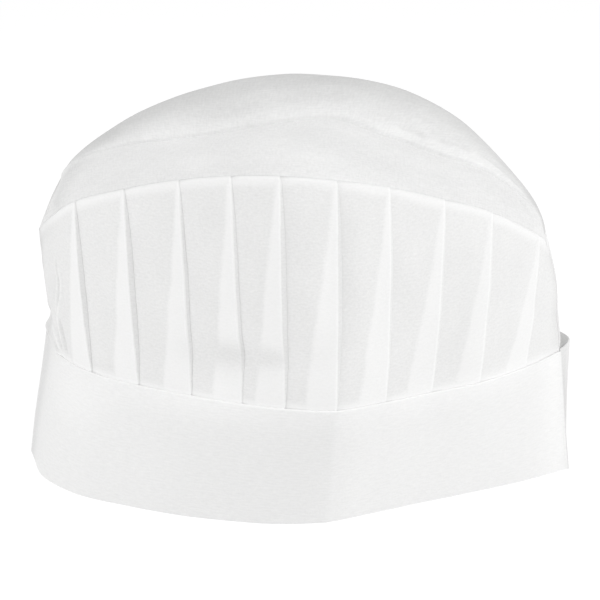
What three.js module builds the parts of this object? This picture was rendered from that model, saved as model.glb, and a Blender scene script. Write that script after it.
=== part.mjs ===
// A low pleated cook's cap of white non-woven cloth, opened out from its flat-packed form and
// standing on its brow band. Millimetres, +Z up, the front towards -Y, the left of the front at -X.
// The origin is at the middle of the footprint, on the surface that the cap stands on.
//
// Four pieces: the brow band, the knife-pleated front and back panels whose hems are tucked into
// the band, and the crown, a gusset sewn between the arched tops of the two panels.
import * as THREE from "three";

// Driving dimensions
const bandHeight = 50.4;
const bandWall = 1.5;
const clothWall = 1.2;
const seamGap = 0.3;
const hemDepth = 9;
const pleatRise = 1.7;
const pressedRise = 0.5;
const foldWidth = 0.5;
const crownFrontPuff = 2.5;
const crownLean = 0.7;
const lapLength = 14;
const lapRise = 0.8;
const frontLength = 287;
const roundLength = 575;
const backLength = roundLength - frontLength;

// The shallow level dent across the left of the front: its middle, as a distance round the band and
// as a share of the way from band to seam, how far it fades out both ways, and its depth.
const dentAt = 125;
const dentUp = 0.22;
const dentLength = 35;
const dentHeight = 0.1;
const dentDepth = 2.5;

// How finely the cloth is drawn: the step along it beside a fold, the reach over which a corner is
// mitred, the shares of the way up a panel that have a row of points, and those of the crown.
const drawnStep = 8;
const cornerReach = 4;
const panelShares = [0.06, 0.14, 0.22, 0.3, 0.45, 0.6, 0.78, 0.94];
const crownShares = 12;
const crownPlaces = 34;
const tipTrim = 0.008;
const slopeReach = 0.01;
const justBefore = 0.9998;

// The outline, a row for each place along the band. "at" is the distance round from the left
// crease, anticlockwise from above. Each row has the place of the band's rim, that of its top edge,
// and that of the arched seam between panel and crown. Y is the depth behind the frontmost point of
// the rim. Each front row but the first two and the last is also the fold edge of a pleat.
const FRONT = [
  { at: 0, rimX: -114.8, rimY: 81, bandX: -106.4, bandY: 88, archX: -111, archY: 93, archZ: 99 },
  { at: 22, rimX: -109, rimY: 57, bandX: -101.2, bandY: 67.5, archX: -104.6, archY: 69, archZ: 110.5 },
  { at: 47, rimX: -93.4, rimY: 35.5, bandX: -87.1, bandY: 45.5, archX: -92.6, archY: 50, archZ: 123 },
  { at: 74, rimX: -71.6, rimY: 21.5, bandX: -66.7, bandY: 28.5, archX: -71.4, archY: 32, archZ: 133 },
  { at: 100, rimX: -49.6, rimY: 10.5, bandX: -44.5, bandY: 15, archX: -48.6, archY: 20, archZ: 140 },
  { at: 123, rimX: -27.5, rimY: 3.5, bandX: -23.5, bandY: 4.6, archX: -27.5, archY: 11, archZ: 144 },
  { at: 142, rimX: -9.6, rimY: 0.3, bandX: -6, bandY: -1.7, archX: -7.9, archY: 6, archZ: 145.3 },
  { at: 163, rimX: 10.9, rimY: 2.3, bandX: 14.9, bandY: -4.5, archX: 14.7, archY: 5, archZ: 143.7 },
  { at: 186, rimX: 30.3, rimY: 13, bandX: 35.3, bandY: 6.2, archX: 36, archY: 14, archZ: 138.6 },
  { at: 209, rimX: 49.5, rimY: 24.5, bandX: 54.4, bandY: 18.7, archX: 58.7, archY: 27, archZ: 130 },
  { at: 233, rimX: 69.6, rimY: 36, bandX: 74.7, bandY: 31.4, archX: 79, archY: 40, archZ: 121 },
  { at: 261, rimX: 93.4, rimY: 50.5, bandX: 95, bandY: 52.2, archX: 100, archY: 61, archZ: 105.3 },
  { at: 287, rimX: 114.7, rimY: 66.5, bandX: 110.9, bandY: 73.8, archX: 103.8, archY: 69.5, archZ: 98.5 },
];
const BACK = [
  FRONT.at(-1),
  { at: 309, rimX: 113, rimY: 87, bandX: 116.2, bandY: 95, archX: 102.8, archY: 84, archZ: 104.6 },
  { at: 332, rimX: 99, rimY: 105.5, bandX: 103, bandY: 114, archX: 93, archY: 99, archZ: 114 },
  { at: 360, rimX: 74, rimY: 119.5, bandX: 77, bandY: 126, archX: 71, archY: 112, archZ: 128 },
  { at: 396, rimX: 40, rimY: 129.5, bandX: 41, bandY: 133, archX: 37, archY: 123.5, archZ: 142 },
  { at: 436, rimX: 0, rimY: 133.5, bandX: 0, bandY: 135, archX: -2, archY: 128, archZ: 149 },
  { at: 476, rimX: -40, rimY: 132, bandX: -40, bandY: 134.5, archX: -41, archY: 126, archZ: 145.5 },
  { at: 516, rimX: -80, rimY: 122, bandX: -78, bandY: 130, archX: -78, archY: 116.5, archZ: 132 },
  { at: 544, rimX: -106, rimY: 106.5, bandX: -101, bandY: 121, archX: -98, archY: 108, archZ: 118 },
  { at: 561, rimX: -116, rimY: 93, bandX: -109.6, bandY: 106.5, archX: -107, archY: 102, archZ: 107 },
  { ...FRONT[0], at: roundLength },
];

// How the panels stand above the band: "slack" is how far their hem hangs clear of the band's
// inside, and "puff" is how far the cloth bellies out halfway up to the seam.
const STANCE = [
  { at: 0, slack: 1.4, puff: 1.8 },
  { at: 35, slack: 0, puff: 1.8 },
  { at: 80, slack: 0, puff: 2.2 },
  { at: 265, slack: 0, puff: 2.2 },
  { at: 287, slack: 0.3, puff: 3.4 },
  { at: 309, slack: 4.8, puff: 0.8 },
  { at: 335, slack: 4, puff: 1 },
  { at: 370, slack: 0, puff: 2.2 },
  { at: 545, slack: 0, puff: 1.6 },
  { at: 575, slack: 1.4, puff: 1.8 },
];

// The crown's centre crease, the valley left by flat packing, above the rows of the front, and how
// far the cloth behind it puffs up.
const CREASE = [
  { at: 0, x: -111, y: 93, z: 99, puff: 0 },
  { at: 22, x: -104.3, y: 88, z: 118.5, puff: 1 },
  { at: 47, x: -92.6, y: 82, z: 133.5, puff: 3 },
  { at: 74, x: -71.4, y: 77, z: 140, puff: 8.3 },
  { at: 100, x: -48.6, y: 73, z: 144, puff: 12 },
  { at: 123, x: -27.5, y: 70, z: 148, puff: 13.8 },
  { at: 142, x: -8, y: 68, z: 151.8, puff: 14.8 },
  { at: 163, x: 15.5, y: 67, z: 153.8, puff: 15 },
  { at: 186, x: 36, y: 67, z: 146.5, puff: 16.5 },
  { at: 209, x: 58.7, y: 68, z: 138, puff: 14 },
  { at: 233, x: 79, y: 71, z: 130.5, puff: 6.5 },
  { at: 261, x: 98.3, y: 74, z: 113.6, puff: 1.5 },
  { at: 287, x: 103.8, y: 69.5, z: 98.5, puff: 0 },
];

// The pleats' fold edges. The back is pleated like the front, in even steps.
const backPleats = 10;
const backPitch = backLength / (backPleats + 1);
const backFolds = Array.from({ length: backPleats }, (_, i) => frontLength + backPitch * (i + 1));
const FOLDS = [...FRONT.slice(2, -1).map((row) => row.at), ...backFolds];

// Even steps from one value to another, both ends included.
const steps = (from, to, count) =>
  Array.from({ length: count + 1 }, (_, i) => from + ((to - from) * i) / count);

// A smooth curve through one column of a table. Its slope at a row is taken from the rows beside
// it, or is level at every row, so that it never runs past them.
function column(rows, key, level = false) {
  const slope = (i) => {
    if (level) return 0;
    const before = rows[Math.max(i - 1, 0)];
    const after = rows[Math.min(i + 1, rows.length - 1)];
    return (after[key] - before[key]) / (after.at - before.at);
  };
  return (at) => {
    let i = 0;
    while (i < rows.length - 2 && rows[i + 1].at <= at) i += 1;
    const from = rows[i];
    const to = rows[i + 1];
    const length = to.at - from.at;
    const t = (at - from.at) / length;
    const value = from[key] + (to[key] - from[key]) * t * t * (3 - 2 * t);
    return value + t * (1 - t) * length * ((1 - t) * slope(i) - t * slope(i + 1));
  };
}

// The outline's columns as curves right round the cap, with a corner left at each crease.
const around = {};
for (const key of ["rimX", "rimY", "bandX", "bandY", "archX", "archY", "archZ"]) {
  const front = column(FRONT, key);
  const back = column(BACK, key);
  around[key] = (at) => {
    const once = THREE.MathUtils.euclideanModulo(at, roundLength);
    return once <= frontLength ? front(once) : back(once);
  };
}

// The middle of the footprint, which goes to the origin.
const middleX = 0.1;
const middleDepth = 65.6;
const place = (x, depth, z) => new THREE.Vector3(x - middleX, depth - middleDepth, z);

// Curves that give a point for each distance round: the band's outer face at one height, the arched
// seam, and the crown's crease.
const bandFace = (z) => (at) => {
  const x = THREE.MathUtils.lerp(around.rimX(at), around.bandX(at), z / bandHeight);
  const depth = THREE.MathUtils.lerp(around.rimY(at), around.bandY(at), z / bandHeight);
  return place(x, depth, z);
};
const archPoint = (at) => place(around.archX(at), around.archY(at), around.archZ(at));
const [creaseX, creaseY, creaseZ, creasePuff] = ["x", "y", "z", "puff"].map((key) => column(CREASE, key));
const creasePoint = (at) => place(creaseX(at), creaseY(at), creaseZ(at));

// A curve moved inwards in plan, corners kept, by a distance that may change on the way round. A
// distance below zero moves it outwards.
function inset(curve, distance) {
  const inwards = (a, b) => new THREE.Vector2(a.y - b.y, b.x - a.x).normalize();
  return (at) => {
    const point = curve(at);
    const before = inwards(curve(at - cornerReach), point);
    const after = inwards(point, curve(at + cornerReach));
    const mitre = before.clone().add(after).divideScalar(1 + before.dot(after));
    mitre.multiplyScalar(distance(at));
    return new THREE.Vector3(point.x + mitre.x, point.y + mitre.y, point.z);
  };
}

// A mesh from corners and faces. Corners at one place are joined, which drops faces of no area.
function meshGeometry(corners, faces) {
  const known = new Map();
  const positions = [];
  const joined = faces.map((corner) => {
    const { x, y, z } = corners[corner];
    const key = [x, y, z].map((value) => value.toFixed(4)).join();
    if (!known.has(key)) {
      known.set(key, known.size);
      positions.push(x, y, z);
    }
    return known.get(key);
  });
  const index = [];
  for (let i = 0; i < joined.length; i += 3) {
    const [a, b, c] = joined.slice(i, i + 3);
    if (a !== b && b !== c && c !== a) index.push(a, b, c);
  }
  const geometry = new THREE.BufferGeometry();
  geometry.setAttribute("position", new THREE.Float32BufferAttribute(positions, 3));
  geometry.setIndex(index);
  geometry.computeVertexNormals();
  return geometry;
}

// A closed wall between an outer and an inner grid of points, each a list of rows of equal length.
// A wall that goes right round joins its ends, and any other gets an end wall at each side.
function wall(outer, inner, goesRound) {
  const rows = outer.length;
  const count = outer[0].length;
  const faces = [];
  const out = (r, c) => r * count + (c % count);
  const back = (r, c) => (rows + r) * count + (c % count);
  const quad = (a, b, c, d) => faces.push(a, b, c, a, c, d);
  const lastRow = rows - 1;
  const lastColumn = count - 1;
  for (let c = 0; c < (goesRound ? count : lastColumn); c += 1) {
    for (let r = 0; r < lastRow; r += 1) {
      quad(out(r, c), out(r, c + 1), out(r + 1, c + 1), out(r + 1, c));
      quad(back(r, c), back(r + 1, c), back(r + 1, c + 1), back(r, c + 1));
    }
    quad(out(0, c), back(0, c), back(0, c + 1), out(0, c + 1));
    quad(out(lastRow, c), out(lastRow, c + 1), back(lastRow, c + 1), back(lastRow, c));
  }
  for (let r = 0; r < lastRow && !goesRound; r += 1) {
    quad(out(r, 0), out(r + 1, 0), back(r + 1, 0), back(r, 0));
    quad(out(r, lastColumn), back(r, lastColumn), back(r + 1, lastColumn), out(r + 1, lastColumn));
  }
  return meshGeometry([...outer, ...inner].flat(), faces);
}

// The places round the cap where band and panels are drawn: each fold edge, the foot just past it,
// points between them, the ends of the band's lap, and the creases with nothing close beside them.
const lapEnd = (frontLength + roundLength) / 2;
const lap = [lapEnd - lapLength - foldWidth, lapEnd - lapLength, lapEnd, lapEnd + foldWidth];
const before = (at) => [at - 2 * drawnStep, at - drawnStep];
const pleats = FOLDS.flatMap((fold) => [...before(fold), fold, fold + foldWidth]);
const plain = [FOLDS[0] / 4, FOLDS[0] / 2, ...before(frontLength), ...before(roundLength)];
const creases = [0, frontLength];
const clearOfCreases = (at) =>
  [...creases, roundLength].every((crease) => Math.abs(at - crease) > cornerReach * 1.5);
const ring = [...pleats, ...plain, ...lap]
  .filter(clearOfCreases)
  .concat(creases)
  .sort((a, b) => a - b);

// The brow band: a strip in a loop, creased sharply on the right and softly on the left, its ends
// lapped and glued at the middle of the back, where the outer end makes a low step.
function bandGeometry() {
  const rise = (at) => (at >= lap[1] && at <= lap[2] ? -lapRise : 0);
  const faces = steps(0, bandHeight, 3).map(bandFace);
  const outer = faces.map((face) => ring.map(inset(face, rise)));
  const inner = faces.map((face) => ring.map(inset(face, () => bandWall)));
  return wall(outer, inner, true);
}

// A point of the crown: t goes from the left tip to the right one, and v from the front seam over
// the crease to the back seam. The cloth puffs up on both sides of the crease, more at the back.
function crownPoint(t, v) {
  const front = archPoint(t * frontLength);
  const back = archPoint(roundLength - t * backLength);
  const crease = creasePoint(t * frontLength);
  const w = v < 0.5 ? v * 2 : v * 2 - 1;
  const frontPuff = crownFrontPuff * Math.sin(Math.PI * t);
  const backPuff = creasePuff(t * frontLength);
  const [from, to, puff] = v < 0.5 ? [front, crease, frontPuff] : [crease, back, backPuff];
  const outwards = new THREE.Vector3(-crownLean * Math.cos(Math.PI * t), 0, 1).normalize();
  return from.lerp(to, w).addScaledVector(outwards, puff * 4 * w * (1 - w));
}

// The crown's outward direction at a point, from points close by on its own side of the crease.
function crownOut(t, v) {
  const [low, high] = v < 0.5 ? [0, 0.5 * justBefore] : [0.5, 1];
  const middle = THREE.MathUtils.clamp(t, slopeReach, 1 - slopeReach);
  const along = crownPoint(middle + slopeReach, v).sub(crownPoint(middle - slopeReach, v));
  const across = crownPoint(middle, Math.min(v + slopeReach, high));
  across.sub(crownPoint(middle, Math.max(v - slopeReach, low)));
  return along.cross(across).normalize();
}

// The arched seam at one place: the way from its outer edge to its inner edge, halfway between the
// faces of panel and crown, and the way across it from the panel to the crown.
function seam(at) {
  const onFront = at <= frontLength;
  const [start, end] = onFront ? [0, frontLength] : [frontLength + slopeReach, roundLength];
  const ahead = archPoint(Math.min(at + foldWidth, end));
  const along = ahead.sub(archPoint(Math.max(at - foldWidth, start))).normalize();
  const panelOut = new THREE.Vector3(along.y, -along.x, 0).normalize();
  const t = onFront ? at / frontLength : (roundLength - at) / backLength;
  const over = crownOut(t, onFront ? 0 : 1);
  const inwards = panelOut.clone().add(over).divideScalar(-1 - panelOut.dot(over));
  return { inwards, across: along.cross(inwards).normalize() };
}

// How far a panel's face has climbed at one place, from 0 at the foot of one pleat to 1 at the fold
// edge of the next. The stretches before the first fold and after each crease start flat.
function pleatClimb(at) {
  const fold = FOLDS.find((edge) => at <= edge);
  if (fold === undefined) return 0;
  return Math.max(0, 1 - (fold - at) / (backPitch - foldWidth));
}

// How far the dent presses the cloth in, at one place and share of the way up.
function dent(at, share) {
  const along = (at - dentAt) / dentLength;
  const up = (share - dentUp) / dentHeight;
  return dentDepth * Math.exp(-(along ** 2) - up ** 2);
}

const slack = column(STANCE, "slack", true);
const puff = column(STANCE, "puff", true);

// The front and back panels: knife pleats that are pressed flat in the hem, stand open above the
// band and run out towards the arched seam.
function panelGeometries() {
  const outer = [];
  const inner = [];
  const addRow = (base, rise) => {
    outer.push(ring.map(inset(base, (at) => -rise * pleatClimb(at))));
    inner.push(ring.map(inset(base, () => clothWall)));
  };
  const inBand = (at) => bandWall + seamGap + pressedRise + slack(at);
  const foot = inset(bandFace(bandHeight), inBand);
  addRow(inset(bandFace(bandHeight - hemDepth), inBand), pressedRise);
  addRow(foot, pressedRise);
  for (const share of panelShares) {
    const straight = (at) => foot(at).lerp(archPoint(at), share);
    const belly = (at) => dent(at, share) - puff(at) * 4 * share * (1 - share);
    addRow(inset(straight, belly), THREE.MathUtils.lerp(pleatRise, pressedRise, share));
  }
  const seams = ring.map(seam);
  const top = ring.map((at, i) => archPoint(at).addScaledVector(seams[i].across, -seamGap));
  outer.push(top);
  inner.push(top.map((point, i) => point.clone().addScaledVector(seams[i].inwards, clothWall)));
  const crease = ring.indexOf(frontLength);
  const part = (grid, from, to) => grid.map((row) => trimEnds([...row, row[0]].slice(from, to + 1)));
  return [
    wall(part(outer, 0, crease), part(inner, 0, crease), false),
    wall(part(outer, crease, ring.length), part(inner, crease, ring.length), false),
  ];
}

// Takes half a seam gap off both ends of a row.
function trimEnds(row) {
  const pulled = (end, next) => end.clone().add(next.clone().sub(end).setLength(seamGap / 2));
  return [pulled(row[0], row[1]), ...row.slice(1, -1), pulled(row.at(-1), row.at(-2))];
}

// The crown: a smooth shell from seam to seam that narrows to a tip at each side.
function crownGeometry() {
  const tip = [tipTrim, 0.02, 0.04];
  const places = [...tip, ...steps(0.06, 0.94, crownPlaces), ...tip.map((t) => 1 - t).reverse()];
  const shares = steps(0, 1, crownShares);
  const outer = shares.map((v) => places.map((t) => crownPoint(t, v)));
  const inner = shares.map((v, r) => places.map((t, c) => {
    const point = outer[r][c].clone();
    if (v === 0) return point.addScaledVector(seam(t * frontLength).inwards, clothWall);
    if (v === 1) return point.addScaledVector(seam(roundLength - t * backLength).inwards, clothWall);
    const near = crownOut(t, v * justBefore);
    const far = crownOut(t, v);
    return point.addScaledVector(near.clone().add(far), -clothWall / (1 + near.dot(far)));
  }));
  return wall(outer, inner, false);
}

const bandCloth = new THREE.MeshStandardMaterial({ color: 0xf4f4f2, roughness: 0.9, metalness: 0 });
const panelCloth = new THREE.MeshStandardMaterial({ color: 0xeeeeec, roughness: 0.92, metalness: 0 });
const crownCloth = new THREE.MeshStandardMaterial({ color: 0xe9e9e7, roughness: 0.92, metalness: 0 });

const cap = new THREE.Group();

function addPiece(name, geometry, material) {
  const mesh = new THREE.Mesh(geometry, material);
  mesh.name = name;
  cap.add(mesh);
}

const [frontPanel, backPanel] = panelGeometries();
addPiece("brow_band", bandGeometry(), bandCloth);
addPiece("front_panel", frontPanel, panelCloth);
addPiece("back_panel", backPanel, panelCloth);
addPiece("crown", crownGeometry(), crownCloth);

export default cap;
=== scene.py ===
import math

import bpy
import numpy as np
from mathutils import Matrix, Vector


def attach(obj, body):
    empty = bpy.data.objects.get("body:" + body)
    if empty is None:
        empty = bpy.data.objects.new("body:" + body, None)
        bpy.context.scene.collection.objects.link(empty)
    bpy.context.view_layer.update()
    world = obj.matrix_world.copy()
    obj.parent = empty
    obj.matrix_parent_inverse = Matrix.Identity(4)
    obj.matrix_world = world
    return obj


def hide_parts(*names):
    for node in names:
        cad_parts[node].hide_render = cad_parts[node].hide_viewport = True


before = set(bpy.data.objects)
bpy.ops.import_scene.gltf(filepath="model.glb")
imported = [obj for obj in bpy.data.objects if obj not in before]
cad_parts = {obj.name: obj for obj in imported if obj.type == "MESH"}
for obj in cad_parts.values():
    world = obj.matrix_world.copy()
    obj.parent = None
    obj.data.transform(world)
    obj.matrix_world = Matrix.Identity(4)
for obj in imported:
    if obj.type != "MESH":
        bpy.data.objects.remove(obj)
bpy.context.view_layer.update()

# The view: the cap stands square to the lens, seen from a little above its front, from far enough
# off that its sides hardly taper.
view_height = math.radians(17)
view_distance = 1.4
aimed_at = Vector((0.0002, -0.0008, 0.076))
camera = bpy.data.objects.new("camera", bpy.data.cameras.new("camera"))
camera.data.lens = 200
camera.data.sensor_width = 36
camera.data.clip_end = 20
camera.location = aimed_at + view_distance * Vector((0, -math.cos(view_height), math.sin(view_height)))
camera.rotation_euler = (math.pi / 2 - view_height, 0, 0)
bpy.context.scene.collection.objects.link(camera)
bpy.context.scene.camera = camera


# The brow band: a stiff strip of non-woven cloth, folded double and glued into a loop whose ends lap
# at the middle of the back. Flat packing has left a sharp crease on the right and a soft one on the
# left. Shapes are worked out in millimetres and turned into metres when a mesh is made.
front_length = 287
round_length = 575
band_height = 50.4
band_thickness = 0.6
ridge_at = 163
middle_x = 0.1
middle_depth = 65.6
per_metre = 1000

# The band's outline at its rim and at its top edge. "at" is the distance round the cap from the left
# crease, anticlockwise from above, and depths are measured back from the frontmost point of the rim.
FRONT_BAND = [
    {"at": 0, "rim_x": -114.8, "rim_y": 81, "top_x": -106.4, "top_y": 88},
    {"at": 22, "rim_x": -109, "rim_y": 57, "top_x": -101.2, "top_y": 67.5},
    {"at": 47, "rim_x": -93.4, "rim_y": 35.5, "top_x": -87.1, "top_y": 45.5},
    {"at": 74, "rim_x": -71.6, "rim_y": 21.5, "top_x": -66.7, "top_y": 28.5},
    {"at": 100, "rim_x": -49.6, "rim_y": 10.5, "top_x": -44.5, "top_y": 15},
    {"at": 123, "rim_x": -27.5, "rim_y": 3.5, "top_x": -23.5, "top_y": 4.6},
    {"at": 142, "rim_x": -9.6, "rim_y": 0.3, "top_x": -6, "top_y": -1.7},
    {"at": 163, "rim_x": 10.9, "rim_y": 2.3, "top_x": 14.9, "top_y": -4.5},
    {"at": 186, "rim_x": 30.3, "rim_y": 13, "top_x": 35.3, "top_y": 6.2},
    {"at": 209, "rim_x": 49.5, "rim_y": 24.5, "top_x": 54.4, "top_y": 18.7},
    {"at": 233, "rim_x": 69.6, "rim_y": 36, "top_x": 74.7, "top_y": 31.4},
    {"at": 261, "rim_x": 93.4, "rim_y": 50.5, "top_x": 95, "top_y": 52.2},
    {"at": 287, "rim_x": 114.7, "rim_y": 66.5, "top_x": 110.9, "top_y": 73.8},
]
BACK_BAND = [
    FRONT_BAND[-1],
    {"at": 309, "rim_x": 113, "rim_y": 87, "top_x": 116.2, "top_y": 95},
    {"at": 332, "rim_x": 99, "rim_y": 105.5, "top_x": 103, "top_y": 114},
    {"at": 360, "rim_x": 74, "rim_y": 119.5, "top_x": 77, "top_y": 126},
    {"at": 396, "rim_x": 40, "rim_y": 129.5, "top_x": 41, "top_y": 133},
    {"at": 436, "rim_x": 0, "rim_y": 133.5, "top_x": 0, "top_y": 135},
    {"at": 476, "rim_x": -40, "rim_y": 132, "top_x": -40, "top_y": 134.5},
    {"at": 516, "rim_x": -80, "rim_y": 122, "top_x": -78, "top_y": 130},
    {"at": 544, "rim_x": -106, "rim_y": 106.5, "top_x": -101, "top_y": 121},
    {"at": 561, "rim_x": -116, "rim_y": 93, "top_x": -109.6, "top_y": 106.5},
    {**FRONT_BAND[0], "at": round_length},
]


def column(rows, key, level=False):
    """A smooth curve through one column of a table, level at each row where it mustn't overshoot."""
    at = np.array([row["at"] for row in rows], float)
    value = np.array([row[key] for row in rows], float)
    before = np.maximum(np.arange(len(at)) - 1, 0)
    after = np.minimum(np.arange(len(at)) + 1, len(at) - 1)
    slope = (value[after] - value[before]) / (at[after] - at[before])
    if level:
        slope = slope * 0

    def along(place):
        i = np.clip(np.searchsorted(at, place, side="right") - 1, 0, len(at) - 2)
        length = at[i + 1] - at[i]
        t = (place - at[i]) / length
        eased = value[i] + (value[i + 1] - value[i]) * t * t * (3 - 2 * t)
        return eased + t * (1 - t) * length * ((1 - t) * slope[i] - t * slope[i + 1])

    return along


def round_the_cap(front_rows, back_rows, key):
    """One column of the outline right round the cap, with a corner left at each crease."""
    front = column(front_rows, key)
    back = column(back_rows, key)

    def along(place):
        once = np.mod(place, round_length)
        on_front = once <= front_length
        in_front = front(np.where(on_front, once, 0))
        behind = back(np.where(on_front, round_length, once))
        return np.where(on_front, in_front, behind)

    return along


rim_x, rim_y, top_x, top_y = (
    round_the_cap(FRONT_BAND, BACK_BAND, key) for key in ("rim_x", "rim_y", "top_x", "top_y")
)


def centred(x, depth, z):
    """Points about the middle of the footprint."""
    return np.stack(np.broadcast_arrays(x - middle_x, depth - middle_depth, z), -1)


def band_face(place, z):
    """The band's outer face at one place and height."""
    share = z / band_height
    x = rim_x(place) + (top_x(place) - rim_x(place)) * share
    depth = rim_y(place) + (top_y(place) - rim_y(place)) * share
    return centred(x, depth, z)


def moved_out(face, place, row, distance):
    """Points of a face that runs round the cap, moved outwards in plan, with its corners mitred over
    a few millimetres to each side."""
    corner_reach = 4
    point = face(place, row)
    steps = [point - face(place - corner_reach, row), face(place + corner_reach, row) - point]
    sides = [np.stack([step[..., 1], -step[..., 0]], -1) for step in steps]
    sides = [side / np.linalg.norm(side, axis=-1, keepdims=True) for side in sides]
    mitre = (sides[0] + sides[1]) / (1 + (sides[0] * sides[1]).sum(-1, keepdims=True))
    moved = point.copy()
    moved[..., :2] += mitre * np.broadcast_to(distance, place.shape)[..., None]
    return moved


def ripples(along, up, seed, longest, height):
    """The faint unevenness of stiff cloth: slow waves that cross at odd angles."""
    dice = np.random.default_rng(seed)
    total = 0
    wave_count = 9
    for _ in range(wave_count):
        turn, phase = dice.uniform(0, 2 * math.pi, 2)
        length = longest * dice.uniform(0.3, 1)
        crossing = along * math.cos(turn) + up * math.sin(turn)
        total = total + length / longest * np.sin(crossing * 2 * math.pi / length + phase)
    return total * height / math.sqrt(wave_count)


def bump(value, middle, width):
    """A smooth rise of 1 at the middle that fades out on both sides."""
    return np.exp(-(((value - middle) / width) ** 2))


def wrinkle(points, line, width):
    """A smooth rise of 1 along a line through some points, which dies away at the line's two ends."""
    fading_share = 0.15
    left_at_ends = 0.15
    line = np.array(line, float)
    rise = np.zeros(points.shape[:-1])
    steps = np.linalg.norm(np.diff(line, axis=0), axis=-1)
    walked = np.concatenate([[0], np.cumsum(steps)])
    for i, (start, end) in enumerate(zip(line, line[1:])):
        run = end - start
        share = np.clip(((points - start) @ run) / (run @ run), 0, 1)
        far = walked[i] + share * steps[i]
        from_end = np.minimum(far, walked[-1] - far)
        ends = np.clip(from_end / (walked[-1] * fading_share) + left_at_ends, 0, 1)
        off_line = np.linalg.norm(points - start - share[..., None] * run, axis=-1)
        rise = np.maximum(rise, ends * bump(off_line, 0, width))
    return rise


def from_left(place):
    """Places told from the left crease both ways, so that the last of the back comes out below 0."""
    last_of_back = front_length + 200
    once = np.mod(place, round_length)
    return np.where(once > last_of_back, once - round_length, once)


def tones(spots, place, up):
    """Soft spots of painted shade and light, added up. Each has a middle, a reach round the cap and one
    up it, and the share that it adds to the white."""
    place = from_left(place)
    total = 0
    for spot in spots:
        round_cap = spot["tone"] * bump(place, spot["at"], spot["reach"])
        total = total + round_cap * bump(up, spot["up"], spot["tall"])
    return total


def cloth_piece(name, middle, thickness, cloth, **facts):
    """A closed piece of cloth round a grid of points, the middle of its thickness. "cloth" gives the
    place of each point on the flat cloth, and each fact is a number that its finish reads."""
    rows, columns = middle.shape[:2]
    up = np.gradient(middle, axis=0)
    along = np.gradient(middle, axis=1)
    normal = np.cross(along, up)
    normal /= np.linalg.norm(normal, axis=-1, keepdims=True)
    half = normal * np.broadcast_to(thickness, (rows, columns))[..., None] / 2
    outside, inside = (middle + half).reshape(-1, 3), (middle - half).reshape(-1, 3)
    points = np.concatenate([outside, inside]) / per_metre
    count = rows * columns
    index = np.arange(count).reshape(rows, columns)

    def strips(a, b, c, d):
        return np.stack([a, b, c, d], -1).reshape(-1, 4)

    def edge(line):
        return strips(line[:-1], line[:-1] + count, line[1:] + count, line[1:])

    outer = strips(index[:-1, :-1], index[:-1, 1:], index[1:, 1:], index[1:, :-1])
    inner = outer[:, ::-1] + count
    edges = [edge(index[0]), edge(index[-1][::-1]), edge(index[::-1, 0]), edge(index[:, -1])]
    mesh = bpy.data.meshes.new(name)
    mesh.from_pydata(points.tolist(), [], np.concatenate([outer, inner, *edges]).tolist())
    mesh.polygons.foreach_set("use_smooth", [True] * len(mesh.polygons))
    corners = np.zeros(len(mesh.loops), np.int32)
    mesh.loops.foreach_get("vertex_index", corners)
    flat = np.tile(cloth.reshape(-1, 2), (2, 1))[corners] / per_metre
    mesh.uv_layers.new(name="cloth").data.foreach_set("uv", flat.ravel())
    for fact, value in facts.items():
        layer = mesh.attributes.new(fact, "FLOAT", "POINT")
        layer.data.foreach_set("value", np.tile(np.broadcast_to(value, (rows, columns)).ravel(), 2))
    mesh.update()
    piece = bpy.data.objects.new(name, mesh)
    bpy.context.scene.collection.objects.link(piece)
    return piece


class Shade:
    """A socket of a material, on which shader maths is written as plain sums."""

    def __init__(self, finish, socket):
        self.finish = finish
        self.socket = socket

    def worked(self, sign, first, second):
        plain = all(x.socket.type == "VALUE" for x in (first, second) if isinstance(x, Shade))
        kind = "ShaderNodeMath" if plain else "ShaderNodeVectorMath"
        return self.finish.node(kind, {"operation": sign}, {0: first, 1: second})

    def __add__(self, other):
        return self.worked("ADD", self, other)

    def __radd__(self, other):
        return self.worked("ADD", other, self)

    def __sub__(self, other):
        return self.worked("SUBTRACT", self, other)

    def __rsub__(self, other):
        return self.worked("SUBTRACT", other, self)

    def __mul__(self, other):
        return self.worked("MULTIPLY", self, other)

    def __rmul__(self, other):
        return self.worked("MULTIPLY", other, self)


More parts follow.
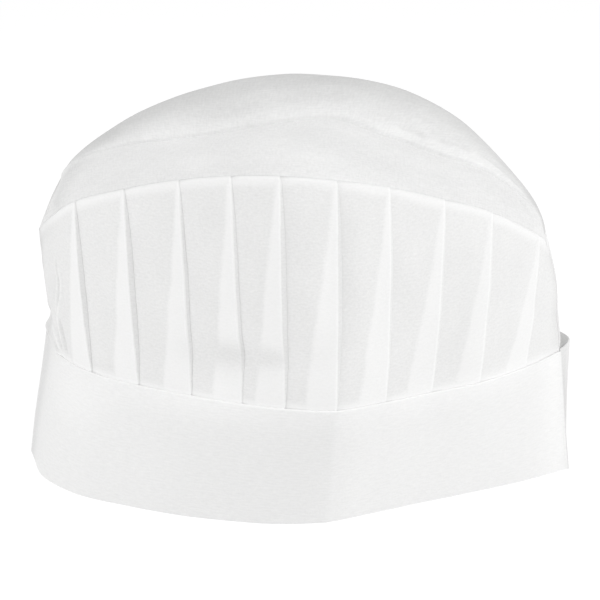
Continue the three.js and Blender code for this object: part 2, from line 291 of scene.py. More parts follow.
class Finish:
    """A cloth finish: matt, with the faint sheen of pressed fibres."""

    def __init__(self, name, sheen, relief):
        self.material = bpy.data.materials.new(name)
        self.material.use_nodes = True
        self.tree = self.material.node_tree
        self.surface = next(node for node in self.tree.nodes if node.type == "BSDF_PRINCIPLED")
        self.surface.inputs["Sheen Weight"].default_value = sheen
        self.surface.inputs["Sheen Roughness"].default_value = 0.5
        self.surface.inputs["Specular IOR Level"].default_value = 0.25
        self.relief = relief

    def node(self, kind, settings=None, inputs=None, output=0):
        """Any node: its settings first, then the values or links of its sockets."""
        made = self.tree.nodes.new(kind)
        for key, value in (settings or {}).items():
            setattr(made, key, value)
        for key, value in (inputs or {}).items():
            self.give(made.inputs[key], value)
        return Shade(self, made.outputs[output])

    def give(self, socket, value):
        if isinstance(value, Shade):
            self.tree.links.new(value.socket, socket)
        else:
            socket.default_value = value

    def fact(self, name):
        """A number that the mesh carries at its points."""
        return self.node("ShaderNodeAttribute", {"attribute_name": name}, output="Fac")

    def fibres(self, seed, along, up, detail=3):
        """Fibres so many to the metre each way, from -1 to 1. Each seed has a patch of its own."""
        flat = self.node("ShaderNodeUVMap", {"uv_map": "cloth"})
        spread = flat * (along, up, 1) + (seed * 7.3, seed * 3.1, seed)
        noise = self.node("ShaderNodeTexNoise", {}, {"Vector": spread, "Scale": 1, "Detail": detail})
        return noise * 2 - 1

    def edge(self, value, start, end):
        """0 below the start, 1 beyond the end, and smooth between them."""
        settings = {"interpolation_type": "SMOOTHSTEP", "clamp": True}
        span = {"Value": value, "From Min": start, "From Max": end}
        return self.node("ShaderNodeMapRange", settings, span)

    def larger(self, first, second):
        return self.node("ShaderNodeMath", {"operation": "MAXIMUM"}, {0: first, 1: second})

    def done(self, thin, thick, share, texture, height):
        """Cloth between two whites, shaded by its texture and by the painted light and shade that its
        "tone" carries, with its fibres standing up as relief.
        """
        matt = 0.9
        fibre_height = 0.0002
        whites = {0: share, 6: (*thin, 1), 7: (*thick, 1)}
        white = self.node("ShaderNodeMix", {"data_type": "RGBA"}, whites, output=2)
        self.give(self.surface.inputs["Base Color"], white * (texture + self.fact("tone") + 1))
        self.give(self.surface.inputs["Roughness"], matt - texture * 2)
        standing = {"Strength": self.relief, "Distance": fibre_height, "Height": height}
        self.give(self.surface.inputs["Normal"], self.node("ShaderNodeBump", {}, standing))
        return self.material


# Spots of painted shade and light on the band, with "up" measured from its rim.
BAND_LIGHT_AND_SHADE = [
    {"at": -5, "up": 25, "reach": 7.5, "tall": 200, "tone": -0.11},
    {"at": 38, "up": 40, "reach": 22, "tall": 14, "tone": 0.045},
    {"at": 125, "up": 25, "reach": 45, "tall": 60, "tone": -0.022},
    {"at": 108, "up": 50, "reach": 45, "tall": 9, "tone": 0.07},
    {"at": 215, "up": 50, "reach": 65, "tall": 7, "tone": 0.045},
    {"at": 281, "up": 25, "reach": 9, "tall": 60, "tone": 0.05},
]

band_finish = Finish("band_cloth", sheen=0.1, relief=0.35)
streaks = band_finish.fibres(1, 260, 1500)
specks = band_finish.fibres(2, 900, 900, detail=2)
clouds = band_finish.fibres(3, 45, 60, detail=2)
# The whiter share along the top edge is a painted highlight.
band_material = band_finish.done(
    (0.866, 0.866, 0.863),
    (0.9, 0.9, 0.898),
    1 - band_finish.edge(band_finish.fact("from_top"), 0.3, 1),
    streaks * 0.06 + specks * 0.035 + clouds * 0.01,
    streaks * 0.6 + specks * 0.4,
)


def unevenness(place, z):
    """How far the band's face strays from its plain shape: slow ripples above its flat foot, its ridge,
    the edge of its right crease and the hollow behind it."""
    flat_foot = 12
    once = np.mod(place, round_length)
    waves = ripples(place, z, seed=4, longest=60, height=0.22) * np.clip(z / flat_foot, 0, 1)
    ridges = waves + 0.35 * bump(once, ridge_at, 2.5) + 0.45 * bump(once, front_length, 0.8)
    return ridges - 0.5 * bump(once, front_length + 4, 2)


# The loop starts and ends behind, with its columns closer at the two creases. The end that laps over
# the other climbs onto it.
lap_end = (front_length + round_length) / 2
lap_length = 14
lap_lift = 0.9
lap_climb = 9
edge_reach = 0.7
along = np.concatenate([
    np.linspace(lap_end - lap_length, round_length - 4, 95)[:-1],
    np.linspace(round_length - 4, round_length + 14, 19)[:-1],
    np.linspace(round_length + 14, round_length + 284, 180)[:-1],
    np.linspace(round_length + 284, round_length + 297, 27)[:-1],
    np.linspace(round_length + 297, round_length + lap_end, 90),
])
edge_steps = np.array([0, 0.12, 0.35, edge_reach])
between_edges = np.linspace(1.6, band_height - 1.6, 24)
up = np.concatenate([edge_steps, between_edges, band_height - edge_steps[::-1]])
place, z = np.meshgrid(along, up)
from_edge = np.minimum(z, band_height - z)
rounded = np.sqrt(np.clip(1 - (1 - np.minimum(from_edge, edge_reach) / edge_reach) ** 2, 0.06, 1))
lap = np.clip((place - (lap_end + round_length - lap_length - lap_climb)) / lap_climb, 0, 1)
lap = lap_lift * lap * lap * (3 - 2 * lap)
once = np.mod(place, round_length)
stand = lap - band_thickness / 2 + unevenness(place, z)
stand = stand - np.where(z > band_height / 2, band_thickness * (1 - rounded) / 2, 0)

# Painted shade greys the cloth just behind the right crease, which shows inside the flare. A painted
# highlight whitens the band's top edge, but less so towards the two creases.
painted_flare_shade = np.where(once >= front_length, 0.22 * bump(once, front_length + 2, 12), 0)
painted_flare_shade = painted_flare_shade * (1 - 0.35 * bump(z, 50, 14))
plain_edge = 2 * np.clip((26 - once) / 6, 0, 1) + 2 * np.clip((once - 262) / 12, 0, 0.4)
band = cloth_piece(
    "brow_band_cloth",
    moved_out(band_face, place, z, stand),
    band_thickness * rounded,
    np.stack([place, z], -1),
    from_top=band_height - z + plain_edge,
    tone=tones(BAND_LIGHT_AND_SHADE, once, z) - painted_flare_shade,
)
band.data.materials.append(band_material)
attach(band, "root")
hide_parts("brow_band")


# The front and back walls: one layer of thin non-woven cloth each, pressed into knife pleats that
# all lie the same way. The pleats overlap widely at the hem, which is tucked into the band, and
# hardly at all at the arched seam, so the cloth opens like a fan.
hem_depth = 9
clear_of_band = 0.95
wall_thickness = 0.09
fold_radius = 0.055
widest_overlap = 13.2
least_overlap = 1.2

FRONT_ARCH = [
    {"at": 0, "x": -111, "y": 93, "z": 99},
    {"at": 22, "x": -104.6, "y": 69, "z": 110.5},
    {"at": 47, "x": -92.6, "y": 50, "z": 123},
    {"at": 74, "x": -71.4, "y": 32, "z": 133},
    {"at": 100, "x": -48.6, "y": 20, "z": 140},
    {"at": 123, "x": -27.5, "y": 11, "z": 144},
    {"at": 142, "x": -7.9, "y": 6, "z": 145.3},
    {"at": 163, "x": 14.7, "y": 5, "z": 143.7},
    {"at": 186, "x": 36, "y": 14, "z": 138.6},
    {"at": 209, "x": 58.7, "y": 27, "z": 130},
    {"at": 233, "x": 79, "y": 40, "z": 121},
    {"at": 261, "x": 100, "y": 61, "z": 105.3},
    {"at": 287, "x": 103.8, "y": 69.5, "z": 98.5},
]
BACK_ARCH = [
    FRONT_ARCH[-1],
    {"at": 309, "x": 102.8, "y": 84, "z": 104.6},
    {"at": 332, "x": 93, "y": 99, "z": 114},
    {"at": 360, "x": 71, "y": 112, "z": 128},
    {"at": 396, "x": 37, "y": 123.5, "z": 142},
    {"at": 436, "x": -2, "y": 128, "z": 149},
    {"at": 476, "x": -41, "y": 126, "z": 145.5},
    {"at": 516, "x": -78, "y": 116.5, "z": 132},
    {"at": 544, "x": -98, "y": 108, "z": 118},
    {"at": 561, "x": -105.4, "y": 102, "z": 107},
    {**FRONT_ARCH[0], "at": round_length},
]

# How the walls stand above the band: how far the hem hangs clear of it, and how far the cloth
# bellies out halfway up.
STANCE = [
    {"at": 0, "slack": 0, "belly": 0.1},
    {"at": 35, "slack": 0, "belly": 1.8},
    {"at": 80, "slack": 0, "belly": 2.2},
    {"at": 200, "slack": 0, "belly": 2.2},
    {"at": 265, "slack": -0.05, "belly": 2},
    {"at": 287, "slack": -0.05, "belly": 2.2},
    {"at": 309, "slack": 4.8, "belly": 0.8},
    {"at": 335, "slack": 4, "belly": 1},
    {"at": 370, "slack": 0, "belly": 2.2},
    {"at": 545, "slack": 0, "belly": 1.6},
    {"at": 575, "slack": 0, "belly": 0.1},
]

# The folds of the pleats. Each edge has opened a little: beyond the crest of its fold, the "lip" is how
# wide the cloth rolls down to the right, and "drop" how far. Then come how deep the cloth beyond it
# dips, how far the fold bows to the right between hem and seam, and how much painted shade darkens its
# rolled edge.
FRONT_FOLDS = [
    {"at": 47, "lip": 1.9, "drop": 1.1, "hollow": 0.3, "bow": 1.5, "shade": 0.06},
    {"at": 74, "lip": 2.1, "drop": 1.1, "hollow": 0.3, "bow": 1.4, "shade": 0.03},
    {"at": 100, "lip": 1.4, "drop": 0.7, "hollow": 0.5, "bow": 1.2, "shade": 0.01},
    {"at": 123, "lip": 1.5, "drop": 0.7, "hollow": 0.4, "bow": 0.6, "shade": 0.01},
    {"at": 142, "lip": 2.1, "drop": 0.8, "hollow": 0.3, "bow": 0, "shade": 0.035},
    {"at": 163, "lip": 2, "drop": 0.5, "hollow": 0.2, "bow": 0, "shade": 0.04},
    {"at": 186, "lip": 1.5, "drop": 0.4, "hollow": 0.1, "bow": -0.3, "shade": 0.015},
    {"at": 209, "lip": 1.5, "drop": 0.4, "hollow": 0.1, "bow": -0.5, "shade": 0.01},
    {"at": 233, "lip": 1.5, "drop": 0.4, "hollow": 0.1, "bow": -0.9, "shade": 0},
    {"at": 261, "lip": 1.5, "drop": 0.4, "hollow": 0.1, "bow": -1.6, "shade": 0},
]
back_pleats = 11
back_pitch = (round_length - front_length) / back_pleats
back_fold = {"lip": 1.8, "drop": 0.6, "hollow": 0.2, "bow": 0, "shade": 0.04}
BACK_FOLDS = [{"at": front_length + back_pitch * i, **back_fold} for i in range(1, back_pleats)]

# Where the cloth is gathered beside the left crease. Each wrinkle runs through some places, given by
# their distance round the cap and their height above the band. Its height is its relief, and its tone
# the painted highlight that it adds to the white, painted shade where it is below 0.
GATHERS = [
    {
        "line": [
            (32, 45), (35.4, 36), (34, 30), (30, 24), (27.4, 18), (27.4, 12.6), (27.8, 7.5), (27.4, 2.5),
        ],
        "width": 0.9,
        "height": 1,
        "tone": 0.1,
    },
    {
        "line": [(29, 46), (32, 36.7), (29.4, 28.7), (27.6, 24.5), (25.6, 19)],
        "width": 0.9,
        "height": 0.9,
        "tone": 0.085,
    },
    {
        "line": [(30.6, 45), (33.7, 36.4), (32, 29.3), (28.7, 23.5)],
        "width": 0.6,
        "height": -0.8,
        "tone": -0.05,
    },
    {"line": [(28.6, 18.2), (29, 12.6), (29.8, 7), (29, 3)], "width": 1, "height": -0.9, "tone": -0.05},
    {"line": [(17, 13), (20.5, 8.5), (25, 3.5)], "width": 1.1, "height": 1.3, "tone": 0.12},
    {"line": [(13, 12), (17, 8), (22, 3)], "width": 1, "height": -1, "tone": -0.1},
    {"line": [(22, 13), (24, 8.5), (26, 4.5)], "width": 0.8, "height": -0.7, "tone": -0.06},
    {"line": [(-16, 6.5), (0, 12), (14, 13)], "width": 3, "height": -1.5, "tone": 0},
    {"line": [(-16, 2.2), (-4, 3)], "width": 2.2, "height": 1.1, "tone": 0},
    {"line": [(-6, 3), (4, 3), (14, 3), (25, 2.2)], "width": 2.2, "height": 1.6, "tone": 0},
]

# Spots of painted shade and light on the walls, with "up" measured from the band's top edge.
WALL_LIGHT_AND_SHADE = [
    {"at": -3, "up": 25, "reach": 6, "tall": 60, "tone": -0.09},
    {"at": 2, "up": 46, "reach": 10, "tall": 8, "tone": -0.12},
    {"at": 18, "up": 56, "reach": 10, "tall": 7, "tone": -0.05},
    {"at": 32, "up": 25, "reach": 12, "tall": 40, "tone": -0.02},
    {"at": 128, "up": 14, "reach": 24, "tall": 8, "tone": -0.025},
    {"at": 126, "up": 30, "reach": 20, "tall": 7, "tone": 0.015},
    {"at": 157, "up": 48, "reach": 6, "tall": 24, "tone": 0.03},
    {"at": 168, "up": 60, "reach": 5, "tall": 24, "tone": -0.03},
    {"at": 150, "up": 12, "reach": 28, "tall": 14, "tone": 0.02},
    {"at": 112, "up": 5, "reach": 14, "tall": 6, "tone": 0.03},
    {"at": 240, "up": 2, "reach": 45, "tall": 3, "tone": 0.03},
    {"at": front_length, "up": 25, "reach": 5, "tall": 60, "tone": -0.05},
]

arch_x, arch_y, arch_z = (round_the_cap(FRONT_ARCH, BACK_ARCH, key) for key in ("x", "y", "z"))
slack = column(STANCE, "slack", level=True)
belly = column(STANCE, "belly", level=True)


def arch(place):
    return centred(arch_x(place), arch_y(place), arch_z(place))


def wall_face(place, row):
    """The wall's plain face: the hem in the band for rows from -1 to 0, then up to the arch at 1."""
    once = np.mod(place, round_length)
    foot_z = band_height + hem_depth * np.minimum(row, 0)
    foot = moved_out(band_face, place, foot_z, -(clear_of_band + slack(once)))
    share = np.clip(row, 0, 1)[..., None]
    return foot + (arch(place) - foot) * share


def up_the_wall(place, row):
    return row * (arch_z(place) - band_height)


def gathered(place, up):
    """The gathers as relief, and the painted highlights and shade of their ridges and valleys. Both
    start just above the band, which holds the cloth flat."""
    painted_light_width = 0.75
    held_height = 0.8
    spot = np.stack([from_left(place), up], -1)
    relief, tone = 0, 0
    for gather in GATHERS:
        relief = relief + gather["height"] * wrinkle(spot, gather["line"], gather["width"])
        tone = tone + gather["tone"] * wrinkle(spot, gather["line"], painted_light_width)
    held = np.clip(up / held_height, 0, 1)
    return relief * held, tone * held


def wall_relief(place, row):
    """How far the wall stands out from its plain face: its belly, the dent across the left of the
    front, the pinch beside the right crease, the gathers beside the left one, and slow ripples."""
    plain_height = 90
    share = np.clip(row, 0, 1)
    once = np.mod(place, round_length)
    up = up_the_wall(place, share)
    out = 4 * share * (1 - share) * belly(once)
    out = out - 2.6 * bump(place, 125, 24) * bump(share, 0.21, 0.08)
    out = out - 1.1 * bump(once, front_length, 14) * bump(share, 0.3, 0.24)
    fade = np.clip(4 * share * (1 - share), 0, 1)
    waves = ripples(place, share * plain_height, seed=6, longest=45, height=0.25)
    return out + gathered(place, up)[0] + fade * waves


def climbing(x, row):
    """How a pleat rises from under one fold, at 0, to the edge of the next, at 1: evenly halfway up,
    and at once near the hem and the seam, where the pleats are pressed flat."""
    x = np.clip(x, 0, 1)
    row = np.clip(row, 0, 1)
    flat = row ** 3 + (1 - row) ** 14
    return (1 - flat) * x ** 1.2 + flat * (1 - (1 - x) ** 8)


def pleated_wall(name, start, end, folds):
    """A wall with its pleats folded: each runs from under the fold before it up to its own crest,
    rolls down to its folded edge, turns back beneath itself, and turns again into the next."""
    in_hem = np.linspace(-1, -0.2, 4)
    above_hem = np.concatenate([np.linspace(0, 0.12, 11), np.linspace(0.134, 1, 59)])
    rows = np.concatenate([in_hem, above_hem])[:, None]
    share = np.clip(rows, 0, 1)
    overlap = least_overlap + (widest_overlap - least_overlap) * (1 - share) ** 1.2
    bowed = np.where(rows < 0, 0, 4 * share * (1 - share))
    opened = 0.08 + 0.92 * (4 * share * (1 - share)) ** 0.6
    pressed = 4.4 * fold_radius
    sunk = -pressed * share ** 2
    turn = np.linspace(0, math.pi, 6)[None, :]
    roll = np.array([[0.12, 0.3, 0.5, 0.75, 1]])
    back = np.linspace(0, 1, 7)[None, 1:-1]
    highlit_crest_width = 0.5
    far_off = 30
    stretches = {"place": [], "out": [], "to_fold": [], "crest": [], "shade": [], "pleat": []}
    crest_columns = []

    def add(**values):
        """One more stretch of columns: where they run, and what the finish reads there."""
        width = max(np.shape(values["place"])[1], np.shape(values["out"])[1])
        for key, value in {**values, "pleat": len(crest_columns) - 1}.items():
            stretches[key].append(np.broadcast_to(value, (len(rows), width)))

    plain = {"lip": 0, "drop": 0, "hollow": 0, "bow": 0, "shade": 0}
    bounds = [{"at": start, **plain}, *folds, {"at": end, **plain}]
    for before, after in zip(bounds, bounds[1:]):
        is_first = before["at"] == start
        is_last = after["at"] == end

        # From under the fold before it up to its crest.
        first = before["at"] + before["bow"] * bowed
        foot = first + before["lip"] * opened
        crest = after["at"] + after["bow"] * bowed
        begin = first if is_first else first - overlap + fold_radius
        t = np.concatenate([np.linspace(0, 0.96, 110 if is_first else 30), [0.98, 0.99, 1]])[None, :]
        place = begin + (crest - begin) * t
        low = sunk + (pressed if is_first else 0)
        high = sunk + pressed + (0 if is_last else after["drop"] * opened)
        hollow = before["hollow"] * bowed * np.exp(-np.maximum(place - foot, 0) / 5)
        out = low + (high - low) * climbing((place - foot) / (crest - foot), rows) - hollow
        crest_columns.append(sum(x.shape[1] for x in stretches["place"]) + place.shape[1] - 1)
        add(
            place=place,
            out=out,
            to_fold=far_off if is_last else crest - place,
            crest=0 if is_last else bump(place, crest, highlit_crest_width),
            shade=before["shade"] * np.exp(-np.maximum(place - foot, 0) / 0.9),
        )
        if is_last:
            break

        # Over its crest and down to its folded edge.
        lip = after["lip"] * opened
        drop = after["drop"] * opened + after["hollow"] * bowed
        edge = crest + lip - fold_radius
        top = out[:, -1:] - drop
        # Painted shade darkens the rolled edge.
        add(
            place=crest + (lip - fold_radius) * roll,
            out=out[:, -1:] - drop * roll,
            to_fold=np.where(lip * roll < highlit_crest_width, 0, far_off),
            crest=bump(lip * roll, 0, highlit_crest_width),
            shade=after["shade"] * np.clip(roll / 0.3, 0, 1),
        )

        # Round the edge, back beneath itself, and round again into the next.
        add(
            place=edge + fold_radius * np.sin(turn[:, 1:]),
            out=top - fold_radius * (1 - np.cos(turn[:, 1:])),
            to_fold=far_off,
            crest=0,
            shade=after["shade"],
        )
        next_begin = crest - overlap + fold_radius
        next_out = sunk - after["hollow"] * bowed
        under_edge = top - 2 * fold_radius
        over_next = next_out + 2 * fold_radius
        add(
            place=edge + (next_begin - edge) * back,
            out=under_edge + (over_next - under_edge) * back,
            to_fold=0,
            crest=0,
            shade=0,
        )
        add(
            place=next_begin - fold_radius * np.sin(turn[:, :-1]),
            out=next_out + fold_radius * (1 + np.cos(turn[:, :-1])),
            to_fold=far_off,
            crest=0,
            shade=0,
        )
    place, out, to_fold, crest, shade, pleat = (np.concatenate(x, 1) for x in stretches.values())

    # The foot of the wall follows the band's own unevenness, which is told along the band from its lap.
    follows_band = 10
    row = np.broadcast_to(rows, place.shape)
    height = np.where(row < 0, hem_depth * row, up_the_wall(place, row))
    along_band = np.where(place < lap_end, place + round_length, place)
    strays = unevenness(along_band, band_height + np.minimum(height, 0))
    out = out + strays * np.clip(1 - height / follows_band, 0, 1)
    middle = moved_out(wall_face, place, row, out - wall_thickness / 2 + wall_relief(place, row))

    # The place of each point on the flat cloth: its length along the row from its own pleat's crest.
    pleats_apart = 50
    across = np.linalg.norm(np.diff(middle, axis=1), axis=-1)
    length = np.concatenate([np.zeros((len(rows), 1)), np.cumsum(across, 1)], 1)
    length = length - length[:, np.array(crest_columns)[pleat[0]]] + pleats_apart * pleat[0]

    # Where two pleats are pulled apart, less of the cloth beneath shows through. Just above the band, a
    # painted glow stands for the light that its white throws on the wall.
    parted = bump(place, 117, 15) * bump(row, 0.21, 0.06)
    parted = parted + bump(place, 137, 11) * bump(row, 0.215, 0.045)
    parted = parted + 0.3 * bump(place, 225, 55)
    painted_band_glow = 0.08 * (1 - np.clip(height / 1.6, 0, 1))
    return cloth_piece(
        name,
        middle,
        wall_thickness,
        np.stack([length, height], -1),
        to_fold=to_fold,
        crest=crest,
        tone=tones(WALL_LIGHT_AND_SHADE, place, height) + gathered(place, height)[1] - shade + painted_band_glow,
        under=overlap,
        parted=parted,
        above_band=height,
        below_seam=up_the_wall(place, 1) - height,
    )


wall_finish = Finish("wall_cloth", sheen=0.1, relief=0.4)
to_fold = wall_finish.fact("to_fold")
clouds = wall_finish.fibres(7, 60, 40, detail=2)
overlapped = wall_finish.edge(wall_finish.fact("under") - to_fold + clouds * 1.5, -1.2, 1.2)
allowance = 1 - wall_finish.edge(wall_finish.fact("below_seam") + clouds * 2, 1.5, 5.5)
in_hem = 1 - wall_finish.edge(wall_finish.fact("above_band") + clouds * 2, 0.3, 4)
overlapped = overlapped * (1 - wall_finish.fact("parted"))
layers = wall_finish.larger(wall_finish.larger(overlapped, allowance * 0.92), in_hem * 0.8)
streaks = wall_finish.fibres(5, 500, 1300)
specks = wall_finish.fibres(6, 1000, 1000, detail=2)
# The crests are whiter: partly the denser folded cloth, partly a painted highlight.
wall_material = wall_finish.done(
    (0.832, 0.832, 0.828),
    (0.955, 0.955, 0.953),
    layers * 0.62 + wall_finish.fact("crest") * 0.25,
    (streaks * 0.07 + specks * 0.06 + clouds * 0.04) * (1 - layers * 0.6),
    streaks * 0.6 + specks * 0.4,
)

side_gap = 0.15
for name, start, end, folds, node in (
    ("front_wall_cloth", 0, front_length, FRONT_FOLDS, "front_panel"),
    ("back_wall_cloth", front_length, round_length, BACK_FOLDS, "back_panel"),
):
    wall = pleated_wall(name, start + side_gap, end - side_gap, folds)
    wall.data.materials.append(wall_material)
    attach(wall, "root")
    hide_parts(node)


# The crown: a single soft gusset of the same cloth, sewn between the two arches. Flat packing has
# left a valley crease across it from side to side, and the cloth puffs up again behind the crease.
crown_thickness = 0.25
crown_width = 240
crown_depth = 120
crown_front_puff = 2.5
crown_lean = 0.7

# The crown's crease, and how far the cloth puffs up behind it.
CREASE = [
    {"at": 0, "x": -111, "y": 93, "z": 99, "puff": 0},
    {"at": 22, "x": -104.3, "y": 88, "z": 118.5, "puff": 1},
    {"at": 47, "x": -92.6, "y": 82, "z": 133.5, "puff": 3},
    {"at": 74, "x": -71.4, "y": 77, "z": 140, "puff": 8.3},
    {"at": 100, "x": -48.6, "y": 73, "z": 144, "puff": 12},
    {"at": 123, "x": -27.5, "y": 70, "z": 148, "puff": 13.8},
    {"at": 142, "x": -8, "y": 68, "z": 151.8, "puff": 14.8},
    {"at": 163, "x": 15.5, "y": 67, "z": 153.8, "puff": 15},
    {"at": 186, "x": 36, "y": 67, "z": 146.5, "puff": 16.5},
    {"at": 209, "x": 58.7, "y": 68, "z": 138, "puff": 14},
    {"at": 233, "x": 79, "y": 71, "z": 130.5, "puff": 6.5},
    {"at": 261, "x": 98.3, "y": 74, "z": 113.6, "puff": 1.5},
    {"at": 287, "x": 103.8, "y": 69.5, "z": 98.5, "puff": 0},
]

# Wrinkles and dents of the crown, and patches of painted light and shade. Each runs through some places:
# "t" from the left tip, 0, to the right one, 1, and "v" from the front seam, 0, over the crease, 0.5, to
# the back seam, 1. The height is its relief, and the tone the painted light that it adds to the white,
# painted shade where it is below 0.
CROWN_WRINKLES_AND_SHADES = [
    {"line": [(0.66, 0.54), (0.678, 0.538), (0.7, 0.541)], "width": 0.8, "height": -0.9, "tone": -0.05},
    {
        "line": [(0.715, 0.55), (0.735, 0.557), (0.765, 0.566)],
        "width": 0.8,
        "height": -0.7,
        "tone": -0.035,
    },
    {"line": [(0.775, 0.59), (0.83, 0.585), (0.87, 0.58)], "width": 1.1, "height": -0.8, "tone": -0.03},
    {"line": [(0.79, 0.565), (0.84, 0.56), (0.88, 0.545)], "width": 1, "height": 0.7, "tone": 0.03},
    {"line": [(0.83, 0.54), (0.865, 0.4), (0.88, 0.28)], "width": 0.9, "height": -0.6, "tone": -0.025},
    {"line": [(0.865, 0.4), (0.905, 0.1)], "width": 1.1, "height": -0.6, "tone": -0.025},
    {"line": [(0.88, 0.35), (0.915, 0.08)], "width": 1, "height": 0.6, "tone": 0.02},
    {"line": [(0.1, 0.483), (0.127, 0.468), (0.166, 0.455)], "width": 2, "height": 0.9, "tone": 0.055},
    {
        "line": [(0.035, 0.15), (0.05, 0.3), (0.068, 0.42), (0.083, 0.5), (0.09, 0.6)],
        "width": 6,
        "height": -3.8,
        "tone": -0.02,
    },
    {"line": [(0.12, 0.05), (0.135, 0.2), (0.15, 0.38)], "width": 3, "height": 0.5, "tone": 0},
    {
        "line": [(0.1, 0.02), (0.125, 0.15), (0.145, 0.3), (0.16, 0.45)],
        "width": 9,
        "height": 0,
        "tone": -0.1,
    },
    {
        "line": [(0.13, 0.46), (0.17, 0.52), (0.208, 0.583), (0.245, 0.623)],
        "width": 4,
        "height": 0,
        "tone": -0.07,
    },
    {
        "line": [(0.62, 0.52), (0.7, 0.52), (0.8, 0.535), (0.88, 0.53)],
        "width": 3.5,
        "height": 0,
        "tone": 0.045,
    },
    {"line": [(0.66, 0.66), (0.76, 0.64), (0.9, 0.6)], "width": 12, "height": 0, "tone": 0.06},
    {"line": [(0.25, 0.72), (0.35, 0.72), (0.6, 0.72)], "width": 14, "height": 0, "tone": -0.025},
    {
        "line": [(0.36, 0.57), (0.45, 0.57), (0.53, 0.58), (0.6, 0.59)],
        "width": 4.5,
        "height": 0,
        "tone": -0.05,
    },
]

crease_x, crease_y, crease_z, crease_puff = (column(CREASE, key) for key in ("x", "y", "z", "puff"))


def crown_face(t, v):
    """The crown's outer face."""
    place = t * front_length
    front = arch(place)
    back = arch(round_length - t * (round_length - front_length))
    crease = centred(crease_x(place), crease_y(place), crease_z(place))
    before = (v < 0.5)[..., None]
    w = np.where(v < 0.5, v * 2, v * 2 - 1)[..., None]
    puff = np.where(v < 0.5, crown_front_puff * np.sin(math.pi * t), crease_puff(place))
    outwards = np.stack([-crown_lean * np.cos(math.pi * t), t * 0, t * 0 + 1], -1)
    outwards /= np.linalg.norm(outwards, axis=-1, keepdims=True)
    start = np.where(before, front, crease)
    end = np.where(before, crease, back)
    return start + (end - start) * w + outwards * (puff[..., None] * 4 * w * (1 - w))


crease_steps = 0.5 + np.array([-0.02, -0.013, -0.008, -0.004, 0, 0.004, 0.008, 0.013, 0.02])
t, v = np.meshgrid(
    np.concatenate([[0.003, 0.008, 0.014], np.linspace(0.02, 0.98, 220), [0.986, 0.992, 0.997]]),
    np.concatenate([np.linspace(0, 0.47, 34), crease_steps, np.linspace(0.53, 1, 44)]),
)
crown_middle = crown_face(t, v)
normal = np.cross(np.gradient(crown_middle, axis=1), np.gradient(crown_middle, axis=0))
normal /= np.linalg.norm(normal, axis=-1, keepdims=True)
relief, tone = np.zeros(t.shape), np.zeros(t.shape)
for line in CROWN_WRINKLES_AND_SHADES:
    path = crown_face(*np.array(line["line"]).T)
    rise = wrinkle(crown_middle, path, line["width"])
    relief += line["height"] * rise
    tone += line["tone"] * rise

# The ripples fade out towards the tips and the seams. The crease is a fine furrow with painted shade on
# the side that faces forwards, and a painted highlight whitens the middle of the front seam.
tip_share = 0.08
seam_share = 0.06
furrow_width = 0.8
inside_tips = np.clip(np.minimum(t, 1 - t) / tip_share, 0, 1)
inside_seams = np.clip(np.minimum(v, 1 - v) / seam_share, 0, 1)
from_front = np.linalg.norm(crown_middle - crown_middle[:1], axis=-1)
from_back = np.linalg.norm(crown_middle - crown_middle[-1:], axis=-1)
seam_distance = np.minimum(from_front, from_back)
waves = ripples(t * crown_width, v * crown_depth, seed=9, longest=50, height=0.4)
relief += waves * inside_tips * inside_seams
from_crease = np.linalg.norm(crown_middle - crown_face(t, v * 0 + 0.5), axis=-1)
relief -= 0.8 * bump(from_crease, 0, furrow_width) * inside_tips
tone += 0.08 * bump(seam_distance, 0, 0.9) * bump(t, 0.55, 0.25) * (v < 0.5)
tone -= 0.07 * bump(np.where(v < 0.5, from_crease, -from_crease), 0.7, 1) * inside_tips
crown_middle = crown_middle + normal * (relief - crown_thickness / 2)[..., None]


def allowance_inside(place, down, inside):
    """The crown's seam allowance, turned down inside the wall: a row of points so far below the seam
    and so far inside the wall."""
    middle_height = 85
    return moved_out(wall_face, place, 1 - down / middle_height + place * 0, -inside)[None]


front_place = t[0] * front_length
back_place = round_length - t[0] * (round_length - front_length)
crown_middle = np.concatenate([
    allowance_inside(front_place, down=3, inside=0.9),
    allowance_inside(front_place, down=0.8, inside=0.7),
    crown_middle,
    allowance_inside(back_place, down=0.8, inside=0.7),
    allowance_inside(back_place, down=3, inside=0.9),
])
t, v, seam_distance, tone = (
    np.concatenate([x[:1], x[:1], x, x[-1:], x[-1:]]) for x in (t, v, seam_distance, tone)
)
across = np.linalg.norm(np.diff(crown_middle, axis=0), axis=-1)
crown_up = np.concatenate([np.zeros((1, t.shape[1])), np.cumsum(across, 0)], 0)

crown_finish = Finish("crown_cloth", sheen=0.1, relief=0.35)
streaks = crown_finish.fibres(11, 260, 1400)
crossed = crown_finish.fibres(12, 1400, 260)
specks = crown_finish.fibres(13, 1000, 1000, detail=2)
clouds = crown_finish.fibres(14, 40, 40, detail=2)
# The seam allowance doubles the cloth, which is whiter there.
allowance = 1 - crown_finish.edge(crown_finish.fact("from_seam"), 2, 4.5)
backed = crown_finish.larger(crown_finish.fact("backed"), allowance)
crown_material = crown_finish.done(
    (0.62, 0.62, 0.616),
    (0.82, 0.82, 0.817),
    backed,
    streaks * 0.08 + crossed * 0.08 + specks * 0.05 + clouds * 0.07,
    streaks * 0.4 + crossed * 0.3 + specks * 0.3,
)
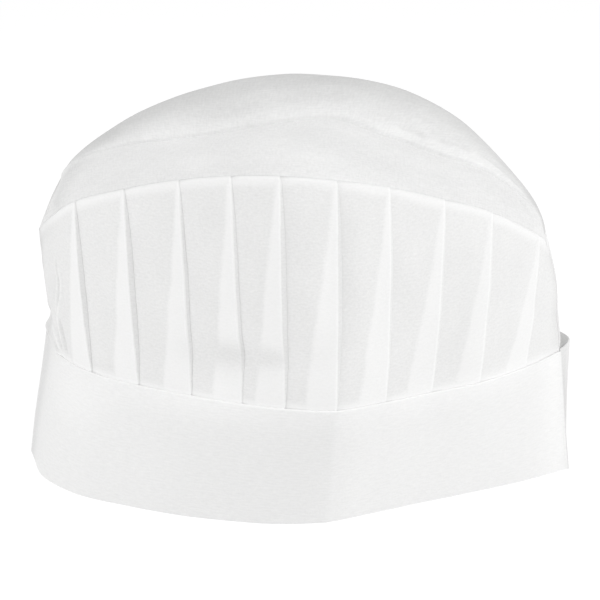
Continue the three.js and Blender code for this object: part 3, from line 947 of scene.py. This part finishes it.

# Painted shade darkens the crown behind the crease, in its thin white.
crown = cloth_piece(
    "crown_cloth_piece",
    crown_middle,
    crown_thickness,
    np.stack([t * crown_width, crown_up], -1),
    from_seam=seam_distance,
    backed=1 - np.clip((v - 0.5) / 0.16, 0, 1) * 0.8,
    tone=tone,
)
crown.data.materials.append(crown_material)
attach(crown, "root")
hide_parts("crown")


# The studio: a white table lit through from below, a pale room, and a soft light on each side of
# the lens, the right one stronger.
def white_surface(name, colour, glow):
    """A matt surface that also glows white."""
    material = bpy.data.materials.new(name)
    material.use_nodes = True
    surface = next(node for node in material.node_tree.nodes if node.type == "BSDF_PRINCIPLED")
    surface.inputs["Base Color"].default_value = (*colour, 1)
    surface.inputs["Roughness"].default_value = 0.9
    surface.inputs["Specular IOR Level"].default_value = 0
    surface.inputs["Emission Color"].default_value = (1, 1, 1, 1)
    surface.inputs["Emission Strength"].default_value = glow
    return material


table_mesh = bpy.data.meshes.new("table")
table_mesh.from_pydata([(-6, -6, 0), (6, -6, 0), (6, 12, 0), (-6, 12, 0)], [], [(0, 1, 2, 3)])
table_mesh.materials.append(white_surface("table_white", (0.25, 0.25, 0.25), 0.823))
table = bpy.data.objects.new("table", table_mesh)
bpy.context.scene.collection.objects.link(table)

room = bpy.data.worlds.new("room")
room.use_nodes = True
room.node_tree.nodes["Background"].inputs["Color"].default_value = (1, 1, 1, 1)
room.node_tree.nodes["Background"].inputs["Strength"].default_value = 0.497
bpy.context.scene.world = room

for name, place, size, power in (
    ("left_softbox", (-1.3, -0.45, 0.9), 0.8, 6.1),
    ("right_softbox", (1.3, -0.45, 0.9), 0.8, 8),
    ("top_softbox", (0, -0.4, 1.5), 1, 5.6),
):
    softbox = bpy.data.lights.new(name, "AREA")
    softbox.size = size
    softbox.energy = power
    lamp = bpy.data.objects.new(name, softbox)
    lamp.location = place
    lamp.rotation_euler = (Vector((0, 0, 0.08)) - Vector(place)).to_track_quat("-Z", "Y").to_euler()
    bpy.context.scene.collection.objects.link(lamp)

bpy.context.scene.view_settings.view_transform = "Standard"
